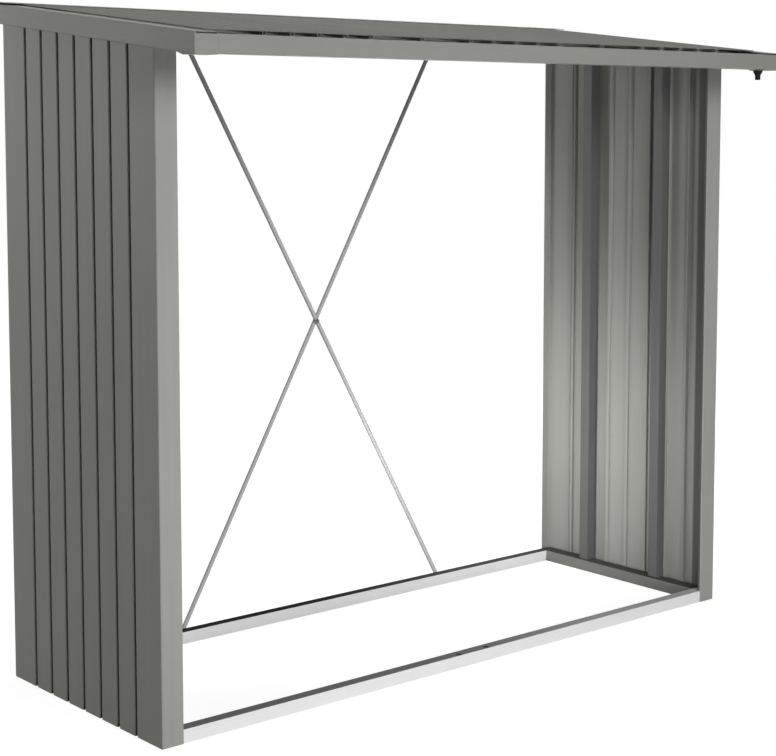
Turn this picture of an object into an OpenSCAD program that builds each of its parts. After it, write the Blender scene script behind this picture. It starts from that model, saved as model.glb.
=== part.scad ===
// Log store: a shelter of folded sheet on a frame of base rails, open at the front and the rear.
// Millimetres. Origin at the middle of the plan on the ground, +X to the right seen from the
// front, +Y to the rear, +Z up.

/* [Overall] */
// Width over the two verge trims
roof_width = 2290; // [1800:10:2800]
// Depth from the gutter's face to the rear trim's face
roof_depth = 1020; // [860:10:1300]
// Height of the roof's rear edge above the ground
height_rear = 1990; // [1700:10:2300]
// Fall of the roof from its rear edge to its front edge
roof_fall = 116; // [80:1:160]
// Reach of the roof past the outer face of each side wall
side_overhang = 20.5; // [16:0.5:40]
// Reach of the roof in front of the posts
front_overhang = 215; // [160:1:260]
// Distance of the walls' rear edge from the roof's rear edge
rear_setback = 3; // [3:1:20]

/* [Sheet] */
// Thickness of the folded sheet
sheet = 2; // [1.5:0.1:3]
// Radius on the inside of a fold
bend_radius = 1.5; // [0.5:0.1:2]
// Gap left between pieces that lie against each other
fit = 0.3; // [0.2:0.1:0.6]
// Width of a rolled groove at its mouth
groove_mouth = 10; // [6:1:14]
// Depth of a rolled groove
groove_depth = 10; // [6:1:14]
// Number of grooves along a side wall
wall_grooves = 7; // [5:1:9]

/* [Base rails] */
// Height of a base rail
rail_height = 38.7; // [30:0.1:60]
// Thickness of a base rail
rail_sheet = 3; // [2:0.5:4]
// Depth of the front rail's flanges
front_rail_flange = 36; // [30:1:50]
// Depth of the rear rail's flanges
rear_rail_flange = 32; // [25:1:40]
// Distance of the rear rail's face from the walls' rear edge
rear_rail_inset = 60; // [55:1:80]
// Distance of the side rails' faces from the walls' outer faces
side_rail_inset = 66; // [60:1:90]
// Diameter of the anchor holes in the front rail
anchor_hole = 11; // [8:1:13]
// Distance of an anchor hole from the middle of the front rail
anchor_offset = 57; // [40:1:120]
// Distance of an anchor hole from the front rail's face
anchor_setback = 10; // [9:1:20]

/* [Posts and stiffeners] */
// Width of a front post's face
post_face = 68.7; // [50:0.1:90]
// Width of a rear post's face
rear_post_face = 31; // [25:1:60]
// Depth of a post's side
post_side = 124; // [100:1:140]
// Depth of the lip that a post turns in behind a wall sheet
post_lip = 18; // [15:1:30]
// Depth of the lip along a front post's inner edge
edge_lip = 10; // [6:1:20]
// Width of a wall stiffener
stiffener_width = 40; // [30:1:50]
// Distance of a stiffener's face from the wall's outer face
stiffener_reach = 52; // [40:1:60]
// Lip along a stiffener's mouth
stiffener_lip = 10; // [6:1:14]

/* [Roof] */
// Width of a verge trim on top of the roof
verge_width = 69; // [60:1:90]
// Depth of the verge trims and the rear trim
verge_drop = 60; // [56:1:90]
// Lip turned in along the lower edge of a verge trim
trim_lip = 12; // [6:1:18]
// Gap between a verge trim and the roof panel beside it
verge_gap = 3; // [2:1:6]
// Distance of a verge trim's top below the panels
verge_step = 4; // [3:1:6]
// Lap of the outer panels over the verge trims
verge_lap = 8; // [5:1:12]
// Number of roof panels
roof_panels = 3; // [3:1:3]
// Grooves in a roof panel
panel_grooves = 5; // [3:1:6]
// Lap of the rear trim over the panels
rear_lap = 50; // [30:1:60]
// Height of a wall's top rail
top_rail_height = 38; // [30:1:40]
// Width of a wall's top rail
top_rail_width = 52; // [40:1:60]
// Height of the rear roof beam
beam_height = 60; // [40:1:80]

/* [Gutter] */
// Width of the gutter from front to rear
gutter_width = 110; // [90:1:140]
// Height of the gutter's front
gutter_height = 49; // [45:1:70]
// Distance of the gutter's lip below the roof
gutter_step = 8; // [8:1:12]
// Width of the flat part of the gutter's floor
gutter_flat = 56; // [50:1:64]
// Rise of the gutter's floor behind its flat part
gutter_rise = 16; // [10:1:20]
// Lap of the roof panels into the gutter
gutter_lap = 58; // [40:1:70]
// Width of the lips along the gutter
gutter_lip = 12; // [8:1:20]
// Distance that an end cap hangs below the gutter
cap_drop = 3; // [3:1:8]
// Diameter of the drain spout's flange
spout_flange = 31; // [28:1:36]
// Diameter of the drain spout's neck
spout_neck = 18; // [16:1:24]
// Diameter of the drain's bore
spout_bore = 12; // [9:1:13]
// Length of the drain spout
spout_length = 30; // [20:1:40]

/* [Cross braces] */
// Distance of a brace's foot from the middle of the rear rail
brace_foot = 553; // [400:1:700]
// Width of a brace
brace_width = 16; // [12:1:24]
// Depth of a brace
brace_depth = 8; // [6:1:10]

/* [Hidden] */
half_width = roof_width / 2;
half_depth = roof_depth / 2;
wall_x = half_width - side_overhang;
wall_rear = half_depth - rear_setback;
wall_front = front_overhang - half_depth;
roof_slope = roof_fall / roof_depth;
roof_angle = atan(roof_slope);
// Height of the roof's plane, the top of the panels, at the rear edge
roof_rear = height_rear - sheet - fit;
groove_reach = groove_depth + sheet;
first_groove = wall_front + post_side + groove_mouth / 2;
last_groove = wall_rear - post_side - groove_mouth / 2;
groove_pitch = (last_groove - first_groove) / (wall_grooves - 1);
rail_x = wall_x - side_rail_inset;
front_rail_y = wall_front + sheet + fit;
side_rail_y = front_rail_y + front_rail_flange + fit;
rear_rail_y = wall_rear - rear_rail_inset;
brace_y = rear_rail_y + rear_rail_flange + fit;
// Depth at which the pieces under the rear trim end, clear of its fold
roof_back = half_depth - sheet - bend_radius - fit;
// Depth below the roof's plane at which the panels are carried, and at which the walls end
seat_drop = groove_reach / cos(roof_angle) + fit;
wall_drop = seat_drop + top_rail_height + fit;
panel_x = half_width - verge_width - verge_gap;
panel_width = (2 * panel_x - (roof_panels - 1) * groove_mouth) / roof_panels;
panel_pitch = panel_width / (panel_grooves + 3);
top_rail_x = wall_x - groove_reach - fit;
gutter_front = -half_depth;
gutter_back = gutter_front + gutter_width;
gutter_top = roof_rear - roof_fall - gutter_step;
gutter_floor = gutter_top - gutter_height;
gutter_x = half_width - verge_width - sheet;
drain_x = gutter_x + spout_flange / 2 + 3 * fit;
drain_y = gutter_front + gutter_flat - spout_flange / 2 - sheet;
beam_top = roof_rear - roof_slope * (half_depth - rear_rail_y) - seat_drop;
// Room on both sides of a cut
over = 20;
curve_facets = 96;
bend_steps = 3;
arc_steps = 12;
paint = [0.48, 0.48, 0.46];
bare = [0.80, 0.80, 0.80];
zinc = [0.55, 0.56, 0.56];
black = [0.08, 0.08, 0.08];

// Unit vector from a to b
function heading(a, b) = (b - a) / norm(b - a);

// A vector turned a quarter to the left
function left_of(v) = [-v[1], v[0]];

// Point i of a path, moved t to the left so that both its sides keep that distance
function moved(p, i, t) =
    let (last = len(p) - 1)
    let (before = left_of(heading(p[max(i - 1, 0)], p[max(i, 1)])))
    let (after = left_of(heading(p[min(i, last - 1)], p[min(i + 1, last)])))
    p[i] + (before + after) * t / (1 + before * after);

// A vector turned by an angle
function turned(v, a) = [v[0] * cos(a) - v[1] * sin(a), v[0] * sin(a) + v[1] * cos(a)];

// Angle by which a path turns to the left at point i
function turn_at(p, i) =
    let (u = heading(p[i - 1], p[i]))
    let (v = heading(p[i], p[i + 1]))
    atan2(u[0] * v[1] - u[1] * v[0], u * v);

// Points of the arc that rounds point i of a path whose sheet of thickness t lies to the left
function bend(p, i, t) =
    let (a = turn_at(p, i))
    let (r = bend_radius + (a > 0 ? t : 0))
    let (u = heading(p[i - 1], p[i]))
    let (start = p[i] - u * r * tan(abs(a) / 2))
    let (spoke = left_of(u) * r * sign(a))
    [for (k = [0 : bend_steps]) start + spoke - turned(spoke, a * k / bend_steps)];

// A path with each of its corners rounded for a sheet of thickness t on its left
function bent(p, t) = concat(
    [p[0]],
    [for (i = [1 : len(p) - 2]) each bend(p, i, t)],
    [p[len(p) - 1]]
);

// Closed outline of a bar along a path, with its thickness to the left
function outline(p, t) = concat(p, [for (i = [len(p) - 1 : -1 : 0]) moved(p, i, t)]);

// The same for a folded sheet, with round folds
function folded(p, t) = outline(bent(p, t), t);

// Height of the roof's plane at depth y
function roof_z(y) = roof_rear - roof_slope * (half_depth - y);

// Outline points of one rolled groove across a sheet, at place c, from level 0 down to level d
function groove(c, d) = [
    [c - groove_mouth / 2, 0], [c - groove_mouth / 2, d],
    [c + groove_mouth / 2, d], [c + groove_mouth / 2, 0]
];

// Points drawn with depth to the right and height upwards, extruded along X
module along_x(x0, x1) {
    translate([x0, 0, 0])
        rotate([90, 0, 90])
            linear_extrude(height = x1 - x0)
                children();
}

// A section drawn with X to the right and height above the roof's plane upwards, extruded down the slope
module along_slope(front, back) {
    translate([0, back, roof_z(back)])
        rotate([90 + roof_angle, 0, 0])
            linear_extrude(height = (back - front) / cos(roof_angle))
                children();
}

// A strip that follows the roof's slope, between two depths and two levels below the roof's plane
module slope_strip(y0, y1, top, bottom) {
    polygon([
        [y0, roof_z(y0) - bottom], [y1, roof_z(y1) - bottom],
        [y1, roof_z(y1) - top], [y0, roof_z(y0) - top]
    ]);
}

// A folded plan outline raised to the roof's slope
module raised(path, thickness, z0, drop) {
    intersection() {
        translate([0, 0, z0])
            linear_extrude(height = height_rear)
                polygon(folded(path, thickness));
        along_x(-half_width, half_width)
            polygon([
                [-half_depth, 0], [half_depth, 0],
                [half_depth, roof_z(half_depth) - drop], [-half_depth, roof_z(-half_depth) - drop]
            ]);
    }
}

module mirrored(side) {
    if (side < 0)
        mirror([1, 0, 0])
            children();
    else
        children();
}

module base_rail_front() {
    y = front_rail_y;
    back = y + front_rail_flange;
    reach = wall_x - sheet - bend_radius - fit;
    color(bare)
        difference() {
            along_x(-reach, reach)
                polygon(outline([[back, rail_height], [y, rail_height], [y, 0], [back, 0]], rail_sheet));
            for (x = [-anchor_offset, anchor_offset])
                translate([x, y + anchor_setback, rail_height / 2])
                    cylinder(d = anchor_hole, h = rail_height, $fn = curve_facets);
        }
}

module base_rail_rear() {
    y = rear_rail_y;
    back = y + rear_rail_flange;
    reach = rail_x - fit;
    color(bare)
        along_x(-reach, reach)
            polygon(outline([[back, 0], [back, rail_height], [y, rail_height], [y, 0]], rail_sheet));
}

module base_rail_side(side) {
    reach = wall_x - post_lip - fit;
    end = rear_rail_y + rear_rail_flange;
    path = [[reach, rail_height], [rail_x, rail_height], [rail_x, 0], [reach, 0]];
    color(paint)
        mirrored(side)
            translate([0, end, 0])
                rotate([90, 0, 0])
                    linear_extrude(height = end - side_rail_y)
                        polygon(outline(path, rail_sheet));
}

module base_rail_left() base_rail_side(-1);

module base_rail_right() base_rail_side(1);

module front_post(side) {
    inner = wall_x - post_face;
    back = wall_front + post_side;
    path = [
        [inner, wall_front + edge_lip], [inner, wall_front], [wall_x, wall_front],
        [wall_x, back], [wall_x - post_lip, back]
    ];
    color(paint)
        mirrored(side)
            difference() {
                raised(path, sheet, 0, wall_drop);
                translate([inner - over, wall_front + sheet + fit / 2, -over])
                    cube([over + 2 * sheet, edge_lip + over, over + rail_height + fit]);
            }
}

module corner_post_front_left() front_post(-1);

module corner_post_front_right() front_post(1);

module rear_post(side) {
    front = wall_rear - post_side;
    path = [
        [wall_x - post_lip, front], [wall_x, front], [wall_x, wall_rear],
        [wall_x - rear_post_face, wall_rear]
    ];
    color(paint)
        mirrored(side)
            raised(path, sheet, 0, wall_drop);
}

module corner_post_rear_left() rear_post(-1);

module corner_post_rear_right() rear_post(1);

module side_wall(side) {
    lap = wall_x - post_lip + fit;
    floor = wall_x - groove_depth;
    front = wall_front + post_side + fit;
    back = wall_rear - post_side - fit;
    first = first_groove + groove_mouth / 2;
    last = last_groove - groove_mouth / 2;
    middle = [
        for (i = [1 : wall_grooves - 2])
            for (p = groove(first_groove + i * groove_pitch, groove_depth))
                [wall_x - p[1], p[0]]
    ];
    path = concat(
        [[lap, front], [floor, front], [floor, first], [wall_x, first]],
        middle,
        [[wall_x, last], [floor, last], [floor, back], [lap, back]]
    );
    color(paint)
        mirrored(side)
            raised(path, sheet, 0, wall_drop);
}

module side_wall_left() side_wall(-1);

module side_wall_right() side_wall(1);

module wall_stiffener(side, end) {
    // It stands against the second groove from its end of the wall
    outer = end < 0 ? first_groove + groove_pitch : last_groove - groove_pitch;
    y = outer + end * (groove_mouth - stiffener_width) / 2;
    front = y - stiffener_width / 2;
    back = y + stiffener_width / 2;
    mouth = wall_x - groove_reach - fit;
    face = wall_x - stiffener_reach;
    path = [
        [mouth, back - stiffener_lip], [mouth, back], [face, back],
        [face, front], [mouth, front], [mouth, front + stiffener_lip]
    ];
    color(zinc)
        mirrored(side)
            raised(path, sheet, rail_height + fit, wall_drop);
}

module wall_stiffener_front_left() wall_stiffener(-1, -1);

module wall_stiffener_front_right() wall_stiffener(1, -1);

module wall_stiffener_rear_left() wall_stiffener(-1, 1);

module wall_stiffener_rear_right() wall_stiffener(1, 1);

module wall_top_rail(side) {
    front = gutter_back + fit;
    inner = top_rail_x - top_rail_width;
    bottom = seat_drop + top_rail_height;
    color(paint)
        mirrored(side) {
            along_x(inner, top_rail_x)
                slope_strip(front, wall_rear, seat_drop, seat_drop + sheet);
            along_x(top_rail_x - sheet, top_rail_x)
                slope_strip(front, wall_rear, seat_drop, bottom);
            along_x(inner, top_rail_x)
                slope_strip(front, wall_rear, bottom - sheet, bottom);
        }
}

module wall_top_rail_left() wall_top_rail(-1);

module wall_top_rail_right() wall_top_rail(1);

module rear_roof_beam() {
    y = rear_rail_y;
    back = y + rear_rail_flange;
    low = beam_top - beam_height;
    reach = top_rail_x - top_rail_width - fit;
    color(paint)
        along_x(-reach, reach)
            polygon(folded([[back, low], [back, beam_top], [y, beam_top], [y, low]], sheet));
}

module roof_panel(index) {
    start = -panel_x + index * (panel_width + groove_mouth);
    front = gutter_front + gutter_width - gutter_lap;
    back = roof_back - groove_reach * sin(roof_angle);
    grooves = [
        for (i = [1 : panel_grooves])
            for (p = groove((i + 1) * panel_pitch, -groove_depth))
                p
    ];
    // Each joint is a groove too: one panel's edge turns under the next one's
    under = panel_width + groove_mouth + 2 * sheet;
    // The outer edges lap over the verge trims
    lap = verge_gap + verge_lap;
    path = concat(
        index == 0 ? [[-lap, 0]] : [[0, fit - groove_depth], [0, 0]],
        grooves,
        index == roof_panels - 1 ? [[panel_width + lap, 0]]
            : [[panel_width, 0], [panel_width, -groove_depth], [under, -groove_depth]]
    );
    color(paint)
        translate([start, 0, 0])
            along_slope(front, back)
                polygon(folded([for (i = [len(path) - 1 : -1 : 0]) path[i]], sheet));
}

module roof_panel_left() roof_panel(0);

module roof_panel_middle() roof_panel(1);

module roof_panel_right() roof_panel(2);

module verge_trim(side) {
    inner = half_width - verge_width;
    lip = half_width - trim_lip;
    strip_depth = verge_step + sheet + bend_radius + fit / 2;
    path = [
        [lip, -verge_drop], [half_width, -verge_drop], [half_width, -verge_step],
        [inner, -verge_step], [inner, fit - seat_drop]
    ];
    color(paint)
        mirrored(side)
            difference() {
                intersection() {
                    along_slope(-half_depth - over, half_depth + over)
                        polygon(folded(path, sheet));
                    translate([0, -half_depth, 0])
                        cube([half_width + over, roof_depth, height_rear + over]);
                }
                along_x(inner - over, half_width - sheet)
                    slope_strip(-half_depth - over, gutter_back, strip_depth, verge_drop + over);
                along_x(inner - over, half_width - sheet)
                    slope_strip(roof_back, half_depth + over, -over, verge_drop + over);
            }
}

module verge_trim_left() verge_trim(-1);

module verge_trim_right() verge_trim(1);

module rear_roof_trim() {
    y = half_depth;
    low = height_rear - verge_drop;
    reach = half_width - sheet - fit;
    top = [y - rear_lap, height_rear - roof_slope * rear_lap];
    color(paint)
        along_x(-reach, reach)
            polygon(folded([[y, low], [y, height_rear], top], sheet));
}

// Outline of the gutter, with its lips; the back reaches up to the panels
function gutter_path(drop) = [
    [gutter_front + gutter_lip, gutter_top], [gutter_front, gutter_top],
    [gutter_front, gutter_floor - drop], [gutter_front + gutter_flat, gutter_floor - drop],
    [gutter_back, gutter_floor - drop + gutter_rise], [gutter_back, roof_z(gutter_back) - seat_drop - fit]
];

module rain_gutter() {
    color(paint)
        along_x(-gutter_x, gutter_x)
            polygon(folded(gutter_path(0), sheet));
}

module gutter_end_cap(side) {
    inner = gutter_x + fit;
    outer = half_width - sheet - fit;
    color(paint)
        mirrored(side)
            difference() {
                union() {
                    along_x(inner, outer)
                        polygon(folded(gutter_path(cap_drop), sheet));
                    along_x(outer - sheet, outer)
                        polygon(gutter_path(cap_drop));
                }
                if (side > 0)
                    translate([drain_x, drain_y, gutter_floor - cap_drop - over])
                        cylinder(d = spout_bore, h = 2 * over, $fn = curve_facets);
            }
}

module gutter_end_cap_left() gutter_end_cap(-1);

module gutter_end_cap_right() gutter_end_cap(1);

module drain_spout() {
    low = gutter_floor - cap_drop - fit - spout_length;
    rim = 4;
    color(black)
        translate([drain_x, drain_y, low])
            rotate_extrude($fn = curve_facets)
                polygon([
                    [spout_bore / 2, 0], [spout_neck / 2, 0], [spout_neck / 2, spout_length / 2],
                    [spout_flange / 2, spout_length - rim], [spout_flange / 2, spout_length],
                    [spout_bore / 2, spout_length]
                ]);
}

// A half-round bar with flat ends, leaning from its foot on one side of the middle to its head on the other
module cross_brace(side, y) {
    low = rail_sheet;
    high = beam_top - rail_sheet;
    rise = high - low;
    lean = atan(2 * brace_foot / rise);
    length = rise / cos(lean) - 2 * brace_width * tan(lean);
    half = brace_width / 2;
    crown = sheet / 4;
    pad = 1.7 * brace_width;
    arc = [
        for (k = [arc_steps : -1 : 0])
            let (a = 180 * k / arc_steps)
            [half * cos(a), crown + (brace_depth - crown) * (1 - sin(a))]
    ];
    color(zinc)
        translate([0, y, (low + high) / 2])
            rotate([0, side * lean, 0])
                translate([0, 0, -length / 2]) {
                    linear_extrude(height = length)
                        polygon(outline(arc, sheet));
                    for (z = [0, length - pad])
                        translate([-half, brace_y - y, z])
                            cube([brace_width, y - brace_y + sheet, pad]);
                }
}

module cross_brace_inner() cross_brace(-1, brace_y);

module cross_brace_outer() cross_brace(1, brace_y + brace_depth + fit);

base_rail_front();
base_rail_rear();
base_rail_left();
base_rail_right();
corner_post_front_left();
corner_post_front_right();
corner_post_rear_left();
corner_post_rear_right();
side_wall_left();
side_wall_right();
wall_stiffener_front_left();
wall_stiffener_front_right();
wall_stiffener_rear_left();
wall_stiffener_rear_right();
wall_top_rail_left();
wall_top_rail_right();
rear_roof_beam();
roof_panel_left();
roof_panel_middle();
roof_panel_right();
verge_trim_left();
verge_trim_right();
rear_roof_trim();
rain_gutter();
gutter_end_cap_left();
gutter_end_cap_right();
drain_spout();
cross_brace_outer();
cross_brace_inner();
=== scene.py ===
"""Log store of folded grey sheet: looks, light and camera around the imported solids."""
import math

import bpy
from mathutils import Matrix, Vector


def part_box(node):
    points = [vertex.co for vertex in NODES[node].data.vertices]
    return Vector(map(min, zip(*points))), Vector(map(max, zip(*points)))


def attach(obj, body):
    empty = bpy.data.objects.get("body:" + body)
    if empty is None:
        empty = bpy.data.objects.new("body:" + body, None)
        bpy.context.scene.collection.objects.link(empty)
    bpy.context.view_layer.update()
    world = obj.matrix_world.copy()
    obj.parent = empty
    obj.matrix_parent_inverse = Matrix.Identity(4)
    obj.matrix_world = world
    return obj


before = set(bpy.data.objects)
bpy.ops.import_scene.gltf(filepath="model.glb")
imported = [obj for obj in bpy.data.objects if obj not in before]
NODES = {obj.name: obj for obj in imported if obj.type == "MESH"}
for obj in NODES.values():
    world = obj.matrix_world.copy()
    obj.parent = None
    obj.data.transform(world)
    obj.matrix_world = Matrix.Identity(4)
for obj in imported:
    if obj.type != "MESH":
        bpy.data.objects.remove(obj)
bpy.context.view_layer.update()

SCENE = bpy.context.scene
WHITE = (1.0, 1.0, 1.0, 1.0)


# Shader expressions

NOISE_MIDDLE = 0.5
MIX_FIRST, MIX_SECOND, MIX_RESULT = 6, 7, 2


class Shade:
    """One value on a surface: a socket of a material's node tree, used in plain sums."""

    def __init__(self, tree, socket=None):
        self.tree = tree
        self.socket = socket

    def make(self, kind, settings=None, inputs=None, output=0):
        """Any node: its settings are set first, then its sockets' values or links."""
        node = self.tree.nodes.new(kind)
        for name, value in (settings or {}).items():
            setattr(node, name, value)
        for name, value in (inputs or {}).items():
            if isinstance(value, Shade):
                self.tree.links.new(value.socket, node.inputs[name])
            else:
                node.inputs[name].default_value = value
        return Shade(self.tree, node.outputs[output])

    def calc(self, operation, first, second=0.0):
        return self.make("ShaderNodeMath", {"operation": operation}, {0: first, 1: second})

    def __add__(self, other):
        return self.calc("ADD", self, other)

    def __radd__(self, other):
        return self.calc("ADD", other, self)

    def __sub__(self, other):
        return self.calc("SUBTRACT", self, other)

    def __rsub__(self, other):
        return self.calc("SUBTRACT", other, self)

    def __mul__(self, other):
        return self.calc("MULTIPLY", self, other)

    def absolute(self):
        return self.calc("ABSOLUTE", self)

    def root(self):
        return self.calc("SQRT", self)

    def clamped(self):
        return self.make("ShaderNodeClamp", {}, {0: self})

    def part(self, axis):
        return self.make("ShaderNodeSeparateXYZ", {}, {0: self}, "XYZ".index(axis))

    def scaled(self, x, y, z):
        return self.make(
            "ShaderNodeVectorMath", {"operation": "MULTIPLY"}, {0: self, 1: (x, y, z)})

    def noise(self, scale, detail=2.0, roughness=0.5):
        return self.make(
            "ShaderNodeTexNoise", {},
            {"Vector": self, "Scale": scale, "Detail": detail, "Roughness": roughness})

    def swing(self, amount):
        """How far a noise is from its middle, times an amount."""
        return (self - NOISE_MIDDLE) * amount

    def fade(self, start, end):
        """0 at start, 1 at end, and smooth between them."""
        return self.make(
            "ShaderNodeMapRange", {"interpolation_type": "SMOOTHSTEP"},
            {"Value": self, "From Min": start, "From Max": end})

    def blend(self, first, second):
        """A colour: the first where this value is 0, the second where it is 1."""
        return self.make(
            "ShaderNodeMix", {"data_type": "RGBA"},
            {"Factor": self, MIX_FIRST: first, MIX_SECOND: second}, MIX_RESULT)

    def bump(self, strength, distance):
        return self.make(
            "ShaderNodeBump", {},
            {"Height": self, "Strength": strength, "Distance": distance})


def new_material(name):
    material = bpy.data.materials.new(name)
    material.use_nodes = True
    material.node_tree.nodes.clear()
    return material, Shade(material.node_tree)


def end_material(material, shader):
    output = material.node_tree.nodes.new("ShaderNodeOutputMaterial")
    material.node_tree.links.new(shader.socket, output.inputs["Surface"])
    return material


def place_on(shade):
    return shade.make("ShaderNodeTexCoord", {}, {}, "Object")


# Colours

# Reach and openness of the painted shade in grooves and narrow gaps
HOLLOW_REACH = 0.03
HOLLOW_OPEN = (0.05, 0.5)


def colour(red, green, blue):
    """A screen colour, 0 to 255, as the linear colour that a shader takes."""
    def linear(value):
        value = value / 255
        return value / 12.92 if value <= 0.04045 else ((value + 0.055) / 1.055) ** 2.4
    return (linear(red), linear(green), linear(blue), 1.0)


def toned(tone, level):
    """The same colour, lighter or darker."""
    return tuple(min(1.0, value * level) for value in tone[:3]) + (1.0,)


def mottled(level, tone, spread):
    """A colour that goes from the darkest to the lightest tone of the spread with the level."""
    darkest, lightest = spread
    return level.clamped().blend(toned(tone, darkest), toned(tone, lightest))


def painted_hollow_shade(shade, surface, shadow):
    """Painted shade: the colour given, going to the shadow's colour deep in grooves and narrow
    gaps, where ambient occlusion finds them closed in.
    """
    openness = shade.make(
        "ShaderNodeAmbientOcclusion", {"samples": 8}, {"Distance": HOLLOW_REACH}, 1)
    return openness.fade(*HOLLOW_OPEN).blend(shadow, surface)


# Places on the pieces, mostly where painted shade goes: a pair of lengths is where a change of
# tone starts and ends

WALL_X = 1.1245
WALL_FRONT = -0.295
# Where painted shade falls inside the front posts and as the gutter's shadow on their heads
POST_INNER_SIDE = (0.0006, 0.0014)
POST_FOLD = (0.0022, 0.004)
POST_HOLLOW_END = (0.088, 0.098)
POST_HEAD = (1.62, 1.79)
POST_HEAD_SHADE = 0.42
VERGE_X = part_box("verge_trim_right")[1][0]
VERGE_FOLD = (0.0025, 0.005)
RAIL_TOP = 0.0387
RAIL_UNDERSIDE = RAIL_TOP - 0.003
RAIL_TOP_EDGE = (RAIL_TOP - 0.0015, RAIL_TOP - 0.0003)
RAIL_FLANGE = (RAIL_UNDERSIDE - 0.0004, RAIL_UNDERSIDE)
ANCHOR_HOLES = ((-0.057, -0.2827), (0.057, -0.2827))
ANCHOR_RING = (0.0076, 0.0088)
BRACE_WIDTH = 0.016
# Where painted shade falls on the braces: along their edges, at the crossing and towards their
# heads
BRACE_EDGE = (0.003, 0.0078)
BRACE_EDGE_SHADE = 0.35
BRACE_CROSSING = (0.004, 0.018)
BRACE_CROSSING_SHADE = 0.55
BRACE_HEAD = (0.1, 0.85)
BRACE_HEAD_SHADE = 0.58


def post_shade(place):
    """Painted shade: 1 on the front part of a front post's inner side, which the post's face
    shades, and partly at its head as the gutter's shadow, else 0.
    """
    inwards = WALL_X - place.part("X").absolute()
    behind = place.part("Y") - WALL_FRONT
    hollow = behind.fade(*POST_FOLD) * (1.0 - behind.fade(*POST_HOLLOW_END))
    inside = inwards.fade(*POST_INNER_SIDE) * hollow
    head = place.part("Z").fade(*POST_HEAD) * POST_HEAD_SHADE
    return inside + (1.0 - inside) * head


def verge_top(place):
    """Painted shade: 1 on a verge trim's folded top, which is painted darker than its side."""
    inwards = VERGE_X - place.part("X").absolute()
    return inwards.fade(*VERGE_FOLD)


def rail_top(place):
    """1 on the top face of a base rail, where painted shade goes, else 0."""
    return place.part("Z").fade(*RAIL_TOP_EDGE)


def anchor_hole_shade(place, x, y):
    """Painted shade: 1 on the front rail's top flange close round an anchor hole, a dark ring
    wider than the hole, else 0.
    """
    inner, outer = ANCHOR_RING
    off_x = place.part("X") - x
    off_y = place.part("Y") - y
    away = off_x * off_x + off_y * off_y
    near = 1.0 - away.fade(inner ** 2, outer ** 2)
    return near * place.part("Z").fade(*RAIL_FLANGE)


def brace_line(node):
    """A brace's lean, its half length and the height of its middle, from its box."""
    low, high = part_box(node)
    across = high[0] - low[0]
    up = high[2] - low[2]
    lean = math.atan(across / up)
    for _ in range(8):
        run = across - BRACE_WIDTH * math.cos(lean)
        rise = up - BRACE_WIDTH * math.sin(lean)
        lean = math.atan(run / rise)
    half = (up - BRACE_WIDTH * math.sin(lean)) / math.cos(lean) / 2
    return lean, half, (low[2] + high[2]) / 2


LEAN, HALF_BRACE, CROSSING_Z = brace_line("cross_brace_inner")


def brace_light_share(side):
    """Painted shade on a brace: 1 where it is fully lit, less along its rounded edges, at the
    crossing and towards its head under the roof.
    """
    def light_share(place):
        x = place.part("X")
        z = place.part("Z") - CROSSING_Z
        off = (x * math.cos(LEAN) - z * (side * math.sin(LEAN))).absolute()
        away = (x * x + z * z).root()
        middle = 1.0 - off.fade(*BRACE_EDGE) * BRACE_EDGE_SHADE
        crossing = 1.0 - BRACE_CROSSING_SHADE + away.fade(*BRACE_CROSSING) * BRACE_CROSSING_SHADE
        head = 1.0 - z.fade(*BRACE_HEAD) * BRACE_HEAD_SHADE
        return middle * crossing * head
    return light_share


# Finishes

PAINT_SPREAD = (0.86, 1.14)
ALUMINIUM_SPREAD = (0.84, 1.08)
ZINC_SPREAD = (0.84, 1.16)
PLASTIC_SPREAD = (0.75, 1.35)
# Where a rail top's painted shade goes from its left to its right level
RAIL_TOP_ALONG = (-0.1, 0.8)
HOLE_SHADE_LEVEL = 0.01
PAINTED_SHADE_LEVEL = 0.16


def metallic_paint(name, tone, grain, gloss, shaded_by=None, shade_level=1.0):
    """Grey metallic paint on sheet: fine flake, faint clouding and streaks along the grain, and
    painted shade where a mask is given.
    """
    material, shade = new_material(name)
    place = place_on(shade)
    flake = place.noise(1500.0, detail=1.0)
    cloud = place.noise(2.6, detail=3.0)
    streak = place.scaled(*grain).noise(1.0, detail=3.0, roughness=0.6)
    peel = place.noise(420.0)
    level = 0.5 + flake.swing(0.42) + cloud.swing(0.5) + streak.swing(0.45)
    paint = mottled(level, tone, PAINT_SPREAD)
    # Painted shade: the paint goes to a darker level where the mask given is 1
    if shaded_by:
        shaded_paint = mottled(level, toned(tone, shade_level), PAINT_SPREAD)
        paint = shaded_by(place).blend(paint, shaded_paint)
    shader = shade.make("ShaderNodeBsdfPrincipled", {}, {
        "Base Color": painted_hollow_shade(shade, paint, toned(tone, 0.1)),
        "Specular IOR Level": gloss,
        "Roughness": 0.5 + cloud.swing(0.12) + flake.swing(0.1),
        "Normal": (peel + flake * 0.4).bump(strength=0.05, distance=0.0004),
    })
    return end_material(material, shader)


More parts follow.
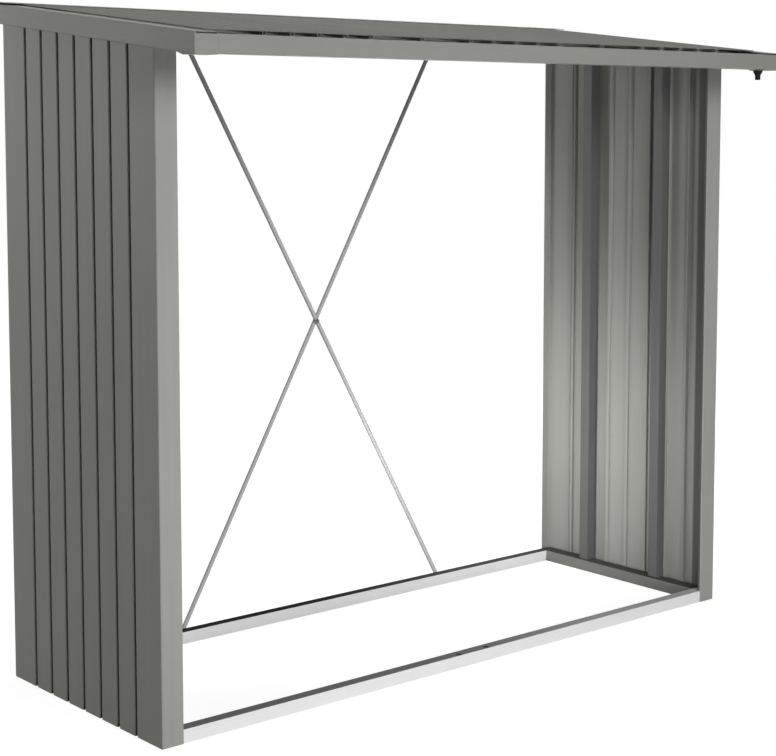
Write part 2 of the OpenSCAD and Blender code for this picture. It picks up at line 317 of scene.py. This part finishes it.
def mill_aluminium(name, tone, top_shade_left, top_shade_right, holes=()):
    """Bare rail: fine lines drawn along its length, soft handling marks, and a top with painted
    shade, darker to the left.
    """
    material, shade = new_material(name)
    place = place_on(shade)
    drawn = place.scaled(1.6, 700.0, 700.0).noise(1.0, roughness=0.6)
    cloud = place.noise(7.0, detail=3.0)
    rubbed = place.scaled(30.0, 120.0, 120.0).noise(1.0, detail=4.0, roughness=0.7)
    marks = rubbed.fade(0.62, 0.75)
    level = 0.55 + drawn.swing(0.6) + cloud.swing(0.4) - marks * 0.25
    face = mottled(level, tone, ALUMINIUM_SPREAD)
    along = place.part("X").fade(*RAIL_TOP_ALONG)
    # Painted shade on the rail's top, going from the left level to the right level
    top = along.blend(toned(tone, top_shade_left), toned(tone, top_shade_right))
    metal = rail_top(place).blend(face, top)
    # Painted shade: a near-black ring round each anchor hole
    for x, y in holes:
        metal = anchor_hole_shade(place, x, y).blend(metal, toned(tone, HOLE_SHADE_LEVEL))
    shader = shade.make("ShaderNodeBsdfPrincipled", {}, {
        "Base Color": painted_hollow_shade(shade, metal, toned(tone, 0.08)),
        "Specular IOR Level": MATT,
        "Roughness": 0.38 + drawn.swing(0.16) + marks * 0.12,
        "Normal": drawn.bump(strength=0.06, distance=0.0003),
    })
    return end_material(material, shader)


def zinc_steel(name, tone, gloss, grain=1.0, light_share=None):
    """Galvanised steel: soft spangle and fine rolled lines, and painted shade where the light
    share given is below 1.
    """
    material, shade = new_material(name)
    place = place_on(shade)
    cells = shade.make(
        "ShaderNodeTexVoronoi", {"feature": "F1"}, {"Vector": place, "Scale": 160.0}, "Color")
    spangle = shade.make("ShaderNodeSeparateColor", {}, {0: cells})
    rolled = place.scaled(300.0, 300.0, 2.0).noise(1.0)
    cloud = place.noise(9.0, detail=3.0)
    level = 0.5 + (spangle.swing(0.12) + rolled.swing(0.4) + cloud.swing(0.4)) * grain
    zinc = mottled(level, tone, ZINC_SPREAD)
    # Painted shade: darker where the light share is below 1
    if light_share:
        zinc = light_share(place).blend(toned(tone, PAINTED_SHADE_LEVEL), zinc)
    shader = shade.make("ShaderNodeBsdfPrincipled", {}, {
        "Base Color": painted_hollow_shade(shade, zinc, toned(tone, 0.1)),
        "Specular IOR Level": gloss,
        "Roughness": 0.42 + spangle.swing(0.12),
        "Normal": rolled.bump(strength=0.02, distance=0.0003),
    })
    return end_material(material, shader)


def moulded_plastic(name, tone):
    """Matt black plastic with a fine moulded grain."""
    material, shade = new_material(name)
    place = place_on(shade)
    grain = place.noise(900.0)
    cloud = place.noise(40.0)
    shader = shade.make("ShaderNodeBsdfPrincipled", {}, {
        "Base Color": mottled(grain * 0.5 + cloud * 0.5, tone, PLASTIC_SPREAD),
        "Specular IOR Level": 0.12,
        "Roughness": 0.5 + grain.swing(0.2),
        "Normal": grain.bump(strength=0.12, distance=0.0003),
    })
    return end_material(material, shader)


PAINT = colour(155, 156, 151)
BRIGHT = colour(249, 249, 249)
UPRIGHT_GRAIN = (70.0, 70.0, 1.4)
ACROSS_GRAIN = (1.4, 70.0, 70.0)
SLOPE_GRAIN = (70.0, 1.4, 70.0)
SATIN = 0.15
MATT = 0.0

wall_paint = metallic_paint("paint_wall", PAINT, UPRIGHT_GRAIN, SATIN)
roof_paint = metallic_paint("paint_roof", PAINT, SLOPE_GRAIN, MATT)
# The front posts' paint carries painted shade inside and under the gutter
post_paint = metallic_paint(
    "paint_post", colour(159, 160, 155), UPRIGHT_GRAIN, SATIN,
    shaded_by=post_shade, shade_level=0.36)
# The side rails' tops carry painted shade
side_rail_paint = metallic_paint(
    "paint_side_rail", colour(132, 133, 130), SLOPE_GRAIN, MATT,
    shaded_by=rail_top, shade_level=0.5)
# The verge's folded top carries painted shade
verge_paint = metallic_paint(
    "paint_verge", PAINT, SLOPE_GRAIN, SATIN, shaded_by=verge_top, shade_level=0.62)
edge_paint = metallic_paint("paint_edge", colour(146, 147, 142), ACROSS_GRAIN, SATIN)
# The rails' tops carry painted shade: darker to the left, and darkest on the rear rail
front_rail_metal = mill_aluminium(
    "aluminium_front_rail", BRIGHT, top_shade_left=0.31, top_shade_right=0.74, holes=ANCHOR_HOLES)
rear_rail_metal = mill_aluminium(
    "aluminium_rear_rail", BRIGHT, top_shade_left=0.045, top_shade_right=0.14)
stiffener_zinc = zinc_steel("zinc_stiffener", colour(99, 99, 99), gloss=0.2)
inner_brace_zinc = zinc_steel(
    "zinc_brace_inner", colour(204, 206, 206), gloss=0.05, grain=0.35, light_share=brace_light_share(-1))
outer_brace_zinc = zinc_steel(
    "zinc_brace_outer", colour(197, 199, 199), gloss=0.05, grain=0.35, light_share=brace_light_share(1))
bolt_zinc = zinc_steel("zinc_bolt", colour(120, 121, 122), gloss=0.2)
spout_plastic = moulded_plastic("plastic_spout", colour(14, 14, 15))

FINISH_OF = {
    "base_rail_front": front_rail_metal,
    "base_rail_rear": rear_rail_metal,
    "base_rail": side_rail_paint,
    "corner_post_front": post_paint,
    "roof_panel": roof_paint,
    "verge_trim": verge_paint,
    "wall_top_rail": roof_paint,
    "rear_roof": edge_paint,
    "rain_gutter": edge_paint,
    "gutter_end_cap": edge_paint,
    "drain_spout": spout_plastic,
    "wall_stiffener": stiffener_zinc,
    "cross_brace_inner": inner_brace_zinc,
    "cross_brace_outer": outer_brace_zinc,
}


def finish_for(node):
    """The finish of the first name that the node's name starts with, else the walls' paint."""
    for start, finish in FINISH_OF.items():
        if node.startswith(start):
            return finish
    return wall_paint


for node, piece in NODES.items():
    piece.data.materials.clear()
    piece.data.materials.append(finish_for(node))


# Bolts of the braces

BRACE_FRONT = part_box("cross_brace_inner")[0][1]
BRACE_STEP = 0.0083
BRACE_CROWN = 0.0005
BRACE_SHEET = 0.002
BOLT_INSET = 0.0136
HEAD_SINK = 0.0006
BOLT_SIZES = {"Head width": 0.008, "Head height": 0.0035, "Washer width": 0.0105}
HEX_CORNER = 0.577
CROWN_RADIUS = 0.36
CROWN_HEIGHT = 0.22
WASHER_HEIGHT = 0.3


def bolt_places():
    """Seat and direction of each bolt head and nut: four brace ends and the crossing."""
    rear = (0.0, 1.0, 0.0)
    front = (0.0, -1.0, 0.0)
    reach = HALF_BRACE - BOLT_INSET
    places = []
    for lean_side, step in ((-1, 0.0), (1, BRACE_STEP)):
        for end in (-1, 1):
            x = end * lean_side * reach * math.sin(LEAN)
            z = CROSSING_Z + end * reach * math.cos(LEAN)
            places.append(((x, BRACE_FRONT + step + BRACE_SHEET, z), rear))
    crown = BRACE_FRONT + BRACE_CROWN
    places.append(((0.0, crown + HEAD_SINK, CROSSING_Z), front))
    places.append(((0.0, crown + BRACE_STEP + BRACE_SHEET, CROSSING_Z), rear))
    return places


def bolt_tree(finish):
    """A hexagon head with a crown and a washer on every point, turned to its direction."""
    tree = bpy.data.node_groups.new("bolts_on_points", "GeometryNodeTree")
    kinds = {
        "Points": "NodeSocketGeometry",
        "Head width": "NodeSocketFloat",
        "Head height": "NodeSocketFloat",
        "Washer width": "NodeSocketFloat",
    }
    for name, kind in kinds.items():
        tree.interface.new_socket(name, in_out="INPUT", socket_type=kind)
    tree.interface.new_socket("Geometry", in_out="OUTPUT", socket_type="NodeSocketGeometry")
    given = tree.nodes.new("NodeGroupInput")
    points, width, height, washer_width = [Shade(tree, given.outputs[name]) for name in kinds]
    shade = Shade(tree)

    def raised(solid, lift):
        shift = shade.make("ShaderNodeCombineXYZ", {}, {"Z": lift})
        return shade.make(
            "GeometryNodeTransform", {}, {"Geometry": solid, "Translation": shift})

    def drum(sides, radius, depth):
        solid = shade.make(
            "GeometryNodeMeshCylinder", {}, {"Vertices": sides, "Radius": radius, "Depth": depth})
        return raised(solid, depth * 0.5)

    head = drum(6, width * HEX_CORNER, height)
    crown = raised(shade.make("GeometryNodeMeshCone", {}, {
        "Vertices": 12, "Radius Bottom": width * 0.5, "Radius Top": width * CROWN_RADIUS,
        "Depth": height * CROWN_HEIGHT}), height)
    washer = drum(20, washer_width * 0.5, height * WASHER_HEIGHT)
    join = tree.nodes.new("GeometryNodeJoinGeometry")
    for solid in (washer, head, crown):
        tree.links.new(solid.socket, join.inputs[0])
    facing = shade.make(
        "GeometryNodeInputNamedAttribute", {"data_type": "FLOAT_VECTOR"}, {"Name": "facing"})
    turn = shade.make("FunctionNodeAlignRotationToVector", {"axis": "Z"}, {"Vector": facing})
    placed = shade.make("GeometryNodeInstanceOnPoints", {}, {
        "Points": points, "Instance": Shade(tree, join.outputs[0]), "Rotation": turn})
    whole = shade.make("GeometryNodeRealizeInstances", {}, {"Geometry": placed})
    done = shade.make("GeometryNodeSetMaterial", {}, {"Geometry": whole, "Material": finish})
    output = tree.nodes.new("NodeGroupOutput")
    tree.links.new(done.socket, output.inputs[0])
    return tree


def fit_bolts(name, places, finish, sizes):
    points = bpy.data.meshes.new(name + "_points")
    points.from_pydata([place for place, _ in places], [], [])
    facing = points.attributes.new("facing", "FLOAT_VECTOR", "POINT")
    for index, (_, direction) in enumerate(places):
        facing.data[index].vector = direction
    holder = bpy.data.objects.new(name + "_points", points)
    SCENE.collection.objects.link(holder)
    modifier = holder.modifiers.new("bolts", "NODES")
    modifier.node_group = bolt_tree(finish)
    for item in modifier.node_group.interface.items_tree:
        if item.in_out == "INPUT" and item.name in sizes:
            modifier[item.identifier] = sizes[item.name]
    evaluated = holder.evaluated_get(bpy.context.evaluated_depsgraph_get())
    mesh = bpy.data.meshes.new_from_object(evaluated)
    bpy.data.objects.remove(holder)
    piece = bpy.data.objects.new(name, mesh)
    SCENE.collection.objects.link(piece)
    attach(piece, "root")


fit_bolts("brace_bolts", bolt_places(), bolt_zinc, BOLT_SIZES)


# Floor, background and light

BACKGROUND_LIGHT = 1.0
AMBIENT_LIGHT = 0.01
FLOOR_HALF = 14.0
FLOOR_DROP = 0.0006
FLOOR_GREY = (0.4, 0.4, 0.4, 1.0)
FLOOR_GLOW = 0.86
FLOOR_FADE = (1.5, 4.0)
WIDE = 180.0

# Each lamp's place, the point it aims at, its width and height, its power and its spread
LAMPS = {
    "lamp_key": ((-1.0, -5.0, 3.15), (-0.2, -0.3, 1.0), (2.5, 1.6), 110.0, WIDE),
    "lamp_low_front": ((-0.4, -3.2, 0.35), (0.3, 0.2, 0.5), (3.0, 0.5), 50.0, WIDE),
    "lamp_rear_left": ((-4.5, 4.5, 2.2), (0.0, 0.1, 1.0), (2.5, 2.5), 108.0, WIDE),
    "lamp_rear_right": ((4.5, 4.5, 2.2), (0.0, 0.1, 1.0), (2.5, 2.5), 108.0, WIDE),
    "lamp_right": ((5.0, 0.6, 1.6), (1.1, 0.1, 0.9), (2.5, 2.0), 60.0, WIDE),
    "lamp_bay": ((-0.6, -0.1, 0.5), (1.12, 0.35, 0.5), (0.5, 0.5), 2.3, 52.0),
    "lamp_top": ((0.0, 0.3, 5.0), (0.0, 0.0, 1.9), (3.0, 2.0), 52.0, WIDE),
}


def seen_directly(shade):
    """1 for rays from the camera, mirror rays and rays through glass, else 0."""
    def kind(output):
        return shade.make("ShaderNodeLightPath", {}, {}, output)
    return (kind("Is Camera Ray") + kind("Is Glossy Ray")
            + kind("Is Transmission Ray")).clamped()


def light_world():
    world = bpy.data.worlds.new("studio")
    world.use_nodes = True
    tree = world.node_tree
    tree.nodes.clear()
    shade = Shade(tree)
    strength = AMBIENT_LIGHT + seen_directly(shade) * (BACKGROUND_LIGHT - AMBIENT_LIGHT)
    glow = shade.make("ShaderNodeBackground", {}, {"Color": WHITE, "Strength": strength})
    output = tree.nodes.new("ShaderNodeOutputWorld")
    tree.links.new(glow.socket, output.inputs["Surface"])
    SCENE.world = world


def floor_finish():
    """Pale floor: it shows some white of its own and takes the lamps' light and the shadow."""
    material, shade = new_material("floor_pale")
    lit = shade.make("ShaderNodeBsdfDiffuse", {}, {"Color": FLOOR_GREY})
    distance = shade.make(
        "ShaderNodeVectorMath", {"operation": "LENGTH"}, {0: place_on(shade)}, "Value")
    level = FLOOR_GLOW + distance.fade(*FLOOR_FADE) * (1.0 - FLOOR_GLOW)
    white = shade.make("ShaderNodeEmission", {}, {
        "Color": WHITE, "Strength": seen_directly(shade) * level})
    return end_material(material, shade.make("ShaderNodeAddShader", {}, {0: lit, 1: white}))


def lay_floor():
    mesh = bpy.data.meshes.new("floor")
    half = FLOOR_HALF
    corners = [(-half, -half), (half, -half), (half, half), (-half, half)]
    mesh.from_pydata([(x, y, -FLOOR_DROP) for x, y in corners], [], [(0, 1, 2, 3)])
    mesh.materials.append(floor_finish())
    floor = bpy.data.objects.new("floor", mesh)
    SCENE.collection.objects.link(floor)


def soft_lamp(name, place, target, size, power, spread):
    lamp = bpy.data.lights.new(name, "AREA")
    lamp.shape = "RECTANGLE"
    lamp.size, lamp.size_y = size
    lamp.energy = power
    lamp.spread = math.radians(spread)
    holder = bpy.data.objects.new(name, lamp)
    holder.location = place
    holder.visible_camera = False
    aim = Vector(target) - Vector(place)
    holder.rotation_euler = aim.to_track_quat("-Z", "Y").to_euler()
    SCENE.collection.objects.link(holder)


light_world()
lay_floor()
for name, settings in LAMPS.items():
    soft_lamp(name, *settings)


# Camera

CAMERA_PLACE = (-3.5373, -4.0738, 1.6528)
CAMERA_YAW = 40.169
CAMERA_PITCH = 5.186
CAMERA_LENS = 80.65
CAMERA_SENSOR = 36.0
CAMERA_SHIFT = -0.13
CAMERA_SIGHT = 100.0


def set_camera():
    data = bpy.data.cameras.new("camera")
    data.lens = CAMERA_LENS
    data.sensor_width = CAMERA_SENSOR
    data.shift_y = CAMERA_SHIFT
    data.clip_end = CAMERA_SIGHT
    holder = bpy.data.objects.new("camera", data)
    holder.location = CAMERA_PLACE
    holder.rotation_euler = (
        math.radians(90 - CAMERA_PITCH), 0.0, math.radians(-CAMERA_YAW))
    SCENE.collection.objects.link(holder)
    SCENE.camera = holder


set_camera()
SCENE.view_settings.view_transform = "Standard"
